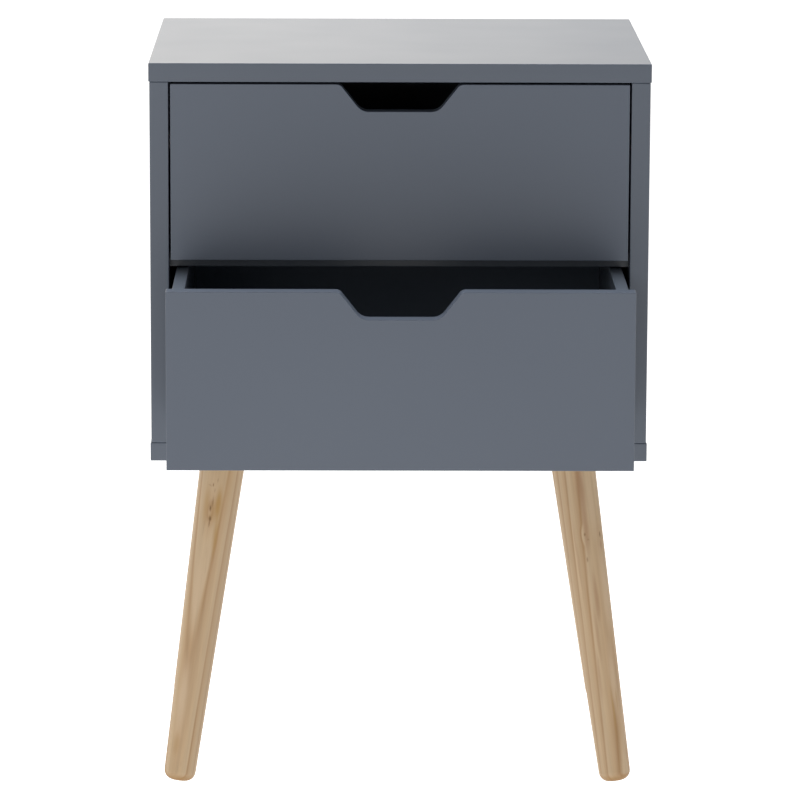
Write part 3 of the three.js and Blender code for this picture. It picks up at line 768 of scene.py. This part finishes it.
def make_side_board(look, side, sign):
    low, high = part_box(f"{side}_side_board")
    tools = [back_groove(), block(*grown("divider_board")), *stud_rooms(side, sign)]
    for end, _ in ENDS:
        tools.append(round_room(f"connecting_screw_{end}_{side}", 2, CONNECTOR_RADIUS + GAP))
        tools.append(round_room(f"cam_{end}_{side}", 0))
        tools.append(round_room(f"cam_bolt_{end}_{side}", 2))
    mesh = cut(block(low, high, BOARD_EDGE), tools)
    show(f"{side}_side_board_painted", mesh, look, "cabinet", f"{side}_side_board")


def make_plain_board(name, look, body, edge):
    low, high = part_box(name)
    show(f"{name}_painted", block(low, high, edge), look, body, name)


# Drawers
def front_outline(half, height):
    """A drawer front with the finger cut-out in its top edge."""
    top, bottom = CUTOUT_TOP / 2, CUTOUT_BOTTOM / 2
    floor = height - CUTOUT_DEPTH
    return rounded_outline([
        (-half, 0, 0),
        (half, 0, 0),
        (half, height, 0),
        (top, height, CUTOUT_TOP_RADIUS),
        (bottom, floor, CUTOUT_BOTTOM_RADIUS),
        (-bottom, floor, CUTOUT_BOTTOM_RADIUS),
        (-top, height, CUTOUT_TOP_RADIUS),
        (-half, height, 0),
    ])


def bottom_groove(level):
    low, high = grown(f"{level}_drawer_bottom")
    return block(low, high + Vector((0, OVERRUN, 0)))


def make_drawer_front(look, level):
    name = f"{level}_drawer_front"
    low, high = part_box(name)
    outline = front_outline((high.x - low.x) / 2, high.z - low.z)
    place = Matrix.Translation(((low.x + high.x) / 2, high.y, low.z))
    upright = place @ Matrix.Rotation(math.pi / 2, 4, "X")
    mesh = cut(moved(pulled(outline, high.y - low.y, FRONT_EDGE), upright), [bottom_groove(level)])
    show(f"{name}_painted", mesh, look, f"{level}_drawer", name)


def runner_groove(level, side, sign):
    """The groove that rides on the runner, closed in front, with a stop at its rear end."""
    low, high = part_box(f"{level}_drawer_{side}_side")
    runner_low, runner_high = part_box(f"{level}_{side}_runner")
    front_low, front_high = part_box(f"{level}_drawer_front")
    top = runner_high.z + GAP
    bottom = runner_high.z - RUNNER_HEIGHT - GROOVE_SPARE_HEIGHT
    setback = runner_low.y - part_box("left_side_board")[0].y
    start = front_low.y + setback - GAP
    stop = high.y - STOP_LENGTH
    outline = [
        (start, bottom),
        (stop, bottom),
        (stop, bottom + STOP_HEIGHT),
        (high.y - STOP_HEIGHT, bottom + STOP_HEIGHT),
        (high.y, bottom),
        (high.y + OVERRUN, bottom),
        (high.y + OVERRUN, top),
        (start, top),
    ]
    outer = high.x if sign > 0 else low.x
    depth = RUNNER_BITE + GROOVE_SPARE_DEPTH
    inner = outer - sign * depth
    leftmost = min(inner, outer + sign * OVERRUN)
    upright = Matrix(((0, 0, 1, leftmost), (1, 0, 0, 0), (0, 1, 0, 0), (0, 0, 0, 1)))
    return moved(pulled(outline, depth + OVERRUN), upright)


def make_drawer(looks, level):
    make_drawer_front(looks["front"], level)
    body = f"{level}_drawer"
    for side, sign in SIDES:
        name = f"{level}_drawer_{side}_side"
        low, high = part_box(name)
        tools = [runner_groove(level, side, sign), bottom_groove(level)]
        mesh = cut(block(low, high, BOARD_EDGE), tools)
        show(f"{name}_painted", mesh, looks["drawer"], body, name)
    for part in ("back", "bottom"):
        make_plain_board(f"{level}_drawer_{part}", looks["drawer"], body, BOARD_EDGE / 2)


# Legs
def leg_frame(end_sign, side_sign):
    """Where a leg's axis meets the underside, and the turn that leans it, its own Z along the axis."""
    low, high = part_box("bottom_board")
    outset = REAR_LEG_OUTSET if end_sign > 0 else 0
    x = side_sign * ((high.x - low.x) / 2 - LEG_INSET + outset)
    y = (low.y + high.y) / 2 + end_sign * ((high.y - low.y) / 2 - LEG_INSET)
    lean = math.tan(SPLAY)
    down = Vector((side_sign * lean, end_sign * lean, -1)).normalized()
    turn = Vector((0, 0, -1)).rotation_difference(down)
    return Vector((x, y, low.z)), turn, down


def leg_profile(length):
    hole = BOLT_RADIUS + GAP
    depth = BOLT_IN_LEG + BOLT_SPARE
    points = [(0, -depth), (hole, -depth), (hole, 0), (LEG_TOP_RADIUS - LEG_TOP_EDGE, 0)]
    straight = length - FOOT_ROUNDING - LEG_TOP_EDGE
    for step in range(LEG_RINGS + 1):
        share = step / LEG_RINGS
        radius = LEG_TOP_RADIUS + (LEG_FOOT_RADIUS - LEG_TOP_RADIUS) * share
        points.append((radius, -LEG_TOP_EDGE - straight * share))
    for step in range(1, ARC_STEPS + 1):
        angle = math.pi / 2 * step / ARC_STEPS
        radius = LEG_FOOT_RADIUS - FOOT_ROUNDING * (1 - math.cos(angle))
        points.append((radius, -length + FOOT_ROUNDING * (1 - math.sin(angle))))
    points.append((0, -length))
    return points


def leg_length(start_height, tilt):
    """The length that brings a leg's rounded end just through the ground."""
    rim = LEG_FOOT_RADIUS - FOOT_ROUNDING
    drop = start_height + FOOT_WEAR - FOOT_ROUNDING
    return (drop - rim * math.sin(tilt)) / math.cos(tilt) + FOOT_ROUNDING


def make_leg(end, side, end_sign, side_sign):
    top, turn, down = leg_frame(end_sign, side_sign)
    tilt = down.angle(Vector((0, 0, -1)))
    start = top + down * LEG_TOP_DROP / math.cos(tilt)
    length = leg_length(start.z, tilt)
    mesh = moved(turned(leg_profile(length), LEG_SIDES), turn.to_matrix().to_4x4())
    reach = top.z
    floor = block((-reach, -reach, -reach), (reach, reach, -start.z))
    look = pine(f"pine_{end}_{side}", turn, FIGURES[f"{end}_{side}"], length)
    name = f"{end}_{side}_leg"
    show(f"{name}_turned", cut(mesh, [floor]), look, "cabinet", name, Matrix.Translation(start))


def boss_profile(reach):
    """The profile of a leg plate's boss, which starts inside the plate and flares where it leaves it."""
    profile = [(0, PLATE_THICKNESS)]
    for step in range(ARC_STEPS + 1):
        angle = math.pi / 2 * step / ARC_STEPS
        radius = BOSS_RADIUS + BOSS_FLARE * (1 - math.sin(angle))
        height = PLATE_THICKNESS * (1 - 2 * step / ARC_STEPS) - BOSS_FLARE * step / ARC_STEPS
        profile.append((radius, height))
    return profile + [(BOSS_RADIUS, BOSS_EDGE - reach), (BOSS_RADIUS - BOSS_EDGE, -reach), (0, -reach)]


def plate_screw_holes(end, side, top):
    """The holes for a leg plate's four screws, measured from where the leg's axis meets the underside."""
    holes = []
    for screw_end, _ in ENDS:
        for screw_side, _ in SIDES:
            screw_low, screw_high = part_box(f"{end}_{side}_plate_screw_{screw_end}_{screw_side}")
            middle = (screw_low + screw_high) / 2 - top
            below = (middle.x, middle.y, -PLATE_THICKNESS - OVERRUN)
            holes.append(rod(SHANK_RADIUS + GAP, below, (middle.x, middle.y, OVERRUN)))
    return holes


def make_leg_plate(look, end, side, end_sign, side_sign):
    name = f"{end}_{side}_leg_plate"
    low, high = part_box(name)
    top, turn, down = leg_frame(end_sign, side_sign)
    half = (high.x - low.x) / 2
    corners = [(x * half, y * half, PLATE_CORNER) for x, y in ((-1, -1), (1, -1), (1, 1), (-1, 1))]
    plate = moved(pulled(rounded_outline(corners), PLATE_THICKNESS, PLATE_EDGE),
                  Matrix.Translation((0, 0, -PLATE_THICKNESS)))
    tilt = down.angle(Vector((0, 0, -1)))
    reach = LEG_TOP_DROP / math.cos(tilt) - GAP
    boss = moved(turned(boss_profile(reach)), turn.to_matrix().to_4x4())
    mesh = join(plate, [boss])
    above = block((-half, -half, 0), (half, half, half))
    bore = rod(BOLT_RADIUS + GAP, -down * OVERRUN, down * (reach + OVERRUN))
    mesh = cut(mesh, [above, bore, *plate_screw_holes(end, side, top)])
    show(f"{name}_pressed", mesh, look, "cabinet", name, Matrix.Translation(top))


# Screws
def cross_head_screw():
    """A cross-head wood screw that points up, with its head's seat at the origin."""
    dome = []
    for step in range(ARC_STEPS + 1):
        angle = math.pi / 2 * step / ARC_STEPS
        dome.append((HEAD_RADIUS * math.sin(angle), -HEAD_HEIGHT * math.cos(angle)))
    profile = [*dome, (SHANK_RADIUS, 0), (SHANK_RADIUS, SCREW_LENGTH - SCREW_TIP), (0, SCREW_LENGTH)]
    half, width = CROSS_LENGTH / 2, CROSS_WIDTH / 2
    floor = CROSS_DEPTH - HEAD_HEIGHT
    arms = [
        block((-half, -width, -2 * HEAD_HEIGHT), (half, width, floor)),
        block((-width, -half, -2 * HEAD_HEIGHT), (width, half, floor)),
    ]
    return cut(turned(profile, ROUND_SIDES), arms)


def connecting_screw(length):
    """A connecting screw that points up, with a hexagonal socket in its head."""
    profile = [
        (0, 0),
        (CONNECTOR_HEAD_RADIUS - BOSS_EDGE, 0),
        (CONNECTOR_HEAD_RADIUS, BOSS_EDGE),
        (CONNECTOR_HEAD_RADIUS, CONNECTOR_HEAD_HEIGHT),
        (CONNECTOR_RADIUS, CONNECTOR_HEAD_HEIGHT),
        (CONNECTOR_RADIUS, length - CONNECTOR_TIP),
        (CONNECTOR_TIP_RADIUS, length),
        (0, length),
    ]
    socket = rod(SOCKET_RADIUS, (0, 0, -SOCKET_DEPTH), (0, 0, SOCKET_DEPTH), HEX_SIDES)
    return cut(turned(profile), [socket])


def lower_end(name, rise=0):
    """The place at the middle of a node's lower end, raised by a height."""
    low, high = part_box(name)
    return Matrix.Translation(((low.x + high.x) / 2, (low.y + high.y) / 2, low.z + rise))


def make_screws(look):
    """The leg plates' screws and the connecting screws, each kind from one mesh."""
    wood_screw = cross_head_screw()
    low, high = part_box("connecting_screw_front_left")
    connector = connecting_screw(high.z - low.z)
    for end, _ in ENDS:
        for side, _ in SIDES:
            name = f"connecting_screw_{end}_{side}"
            place = lower_end(name)
            show(f"{name}_plated", connector, look, "cabinet", name, place)
            for screw_end, _ in ENDS:
                for screw_side, _ in SIDES:
                    name = f"{end}_{side}_plate_screw_{screw_end}_{screw_side}"
                    place = lower_end(name, HEAD_HEIGHT)
                    show(f"{name}_plated", wood_screw, look, "cabinet", name, place)


# Studio
def make_camera():
    data = bpy.data.cameras.new("camera")
    data.sensor_width = FILM_WIDTH
    data.lens = LENS_SHARE * FILM_WIDTH
    data.clip_end = CAMERA_REACH
    camera = bpy.data.objects.new("camera", data)
    turn = Matrix.Rotation(-CAMERA_RIGHT, 4, "Z") @ Matrix.Rotation(math.pi / 2 - CAMERA_DOWN, 4, "X")
    roll = Matrix.Rotation(CAMERA_ROLL, 4, "Z")
    camera.matrix_world = Matrix.Translation(CAMERA_PLACE) @ turn @ roll
    bpy.context.scene.collection.objects.link(camera)
    bpy.context.scene.camera = camera


def make_floor():
    reach = FLOOR_REACH
    mesh = bpy.data.meshes.new("floor")
    corners = [(-reach, -reach, 0), (reach, -reach, 0), (reach, reach, 0), (-reach, reach, 0)]
    mesh.from_pydata(corners, [], [range(len(corners))])
    material, tree, shader, points = new_material("floor")
    shader.inputs["Base Color"].default_value = FLOOR_COLOR
    shader.inputs["Roughness"].default_value = FLOOR_ROUGHNESS
    shader.inputs["Emission Color"].default_value = WHITE
    away = node(tree, "VectorMath", {0: points, 1: GLOW_PLACE}, operation="DISTANCE").outputs["Value"]
    tree.links.new(ranged(tree, away, *GLOW_REACH, *FLOOR_GLOW), shader.inputs["Emission Strength"])
    mesh.materials.append(material)
    floor = bpy.data.objects.new("floor", mesh)
    bpy.context.scene.collection.objects.link(floor)


def make_light(name, place, size, power, aim, mirrored):
    """A soft box that the camera doesn't see, seen in reflections only if it is mirrored."""
    data = bpy.data.lights.new(name, "AREA")
    data.shape = "RECTANGLE"
    data.size, data.size_y = size
    data.energy = power
    light = bpy.data.objects.new(name, data)
    light.location = place
    light.visible_camera = False
    light.visible_glossy = mirrored
    light.rotation_euler = (Vector(aim) - Vector(place)).to_track_quat("-Z", "Y").to_euler()
    bpy.context.scene.collection.objects.link(light)


def make_sky():
    """A dim sky that is white near the horizon and brightest behind the object's left."""
    world = bpy.data.worlds.new("sky")
    world.use_nodes = True
    tree = world.node_tree
    directions = tree.nodes.new("ShaderNodeTexCoord").outputs["Generated"]
    toward = node(tree, "SeparateXYZ", {0: directions}).outputs
    left = smooth(tree, toward[0], *BACK_EDGE)
    behind = smooth(tree, toward[1], *BACK_REACH)
    share = sum_of(tree, "MULTIPLY", left, behind)
    low = smooth(tree, toward[2], *LOW_EDGE, LOW_GLOW, 0.0)
    glow = node(tree, "VectorMath", {0: BACK_GLOW, "Scale": share}, operation="SCALE").outputs[0]
    glow = node(tree, "VectorMath", {0: glow, 1: low}, operation="MAXIMUM").outputs[0]
    glow = node(tree, "VectorMath", {0: glow, 1: SKY_GLOW}, operation="ADD").outputs[0]
    tree.links.new(glow, tree.nodes["Background"].inputs["Color"])
    bpy.context.scene.world = world


def make_studio():
    make_camera()
    make_floor()
    make_sky()
    make_light("key", KEY_PLACE, KEY_SIZE, KEY_POWER, KEY_AIM, mirrored=True)
    make_light("top", TOP_PLACE, TOP_SIZE, TOP_POWER, TOP_AIM, mirrored=False)
    bpy.context.scene.view_settings.view_transform = "Standard"


def make_looks():
    return {
        "board": paint("painted_board", BOARD_COLORS),
        "front": paint("painted_front", FRONT_COLORS, FRONT_SHINE),
        "drawer": paint("drawer_board", DRAWER_COLORS),
        # The divider's darker coat is painted shade for its recessed edge
        "divider": paint("divider_board", DIVIDER_SHADE_COLORS),
        "back": paint("back_board", BACK_COLORS, BACK_SHINE),
        "plate": zinc("plate_steel", STEEL_COLOR, STEEL_ROUGHNESS),
        "zinc": zinc("zinc", ZINC_COLOR, ZINC_ROUGHNESS),
        "nylon": nylon("runner_nylon"),
    }


def make_cabinet(looks):
    make_top_board(looks["board"])
    make_bottom_board(looks["board"])
    for side, sign in SIDES:
        make_side_board(looks["board"], side, sign)
    # The divider takes the darker coat, which is painted shade for its recessed edge
    make_plain_board("divider_board", looks["divider"], "cabinet", BOARD_EDGE)
    make_plain_board("back_board", looks["back"], "cabinet", BOARD_EDGE / 2)


def make_legs(looks):
    for end, end_sign in ENDS:
        for side, side_sign in SIDES:
            make_leg(end, side, end_sign, side_sign)
            make_leg_plate(looks["plate"], end, side, end_sign, side_sign)


def dress_kept_nodes(looks):
    """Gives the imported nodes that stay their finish."""
    for name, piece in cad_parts.items():
        if piece.hide_render:
            continue
        look = looks["nylon"] if name.endswith("runner") else looks["zinc"]
        piece.data.materials.clear()
        piece.data.materials.append(look)


make_studio()
all_looks = make_looks()
make_cabinet(all_looks)
for drawer_level in LEVELS:
    make_drawer(all_looks, drawer_level)
make_legs(all_looks)
make_screws(all_looks["zinc"])
dress_kept_nodes(all_looks)
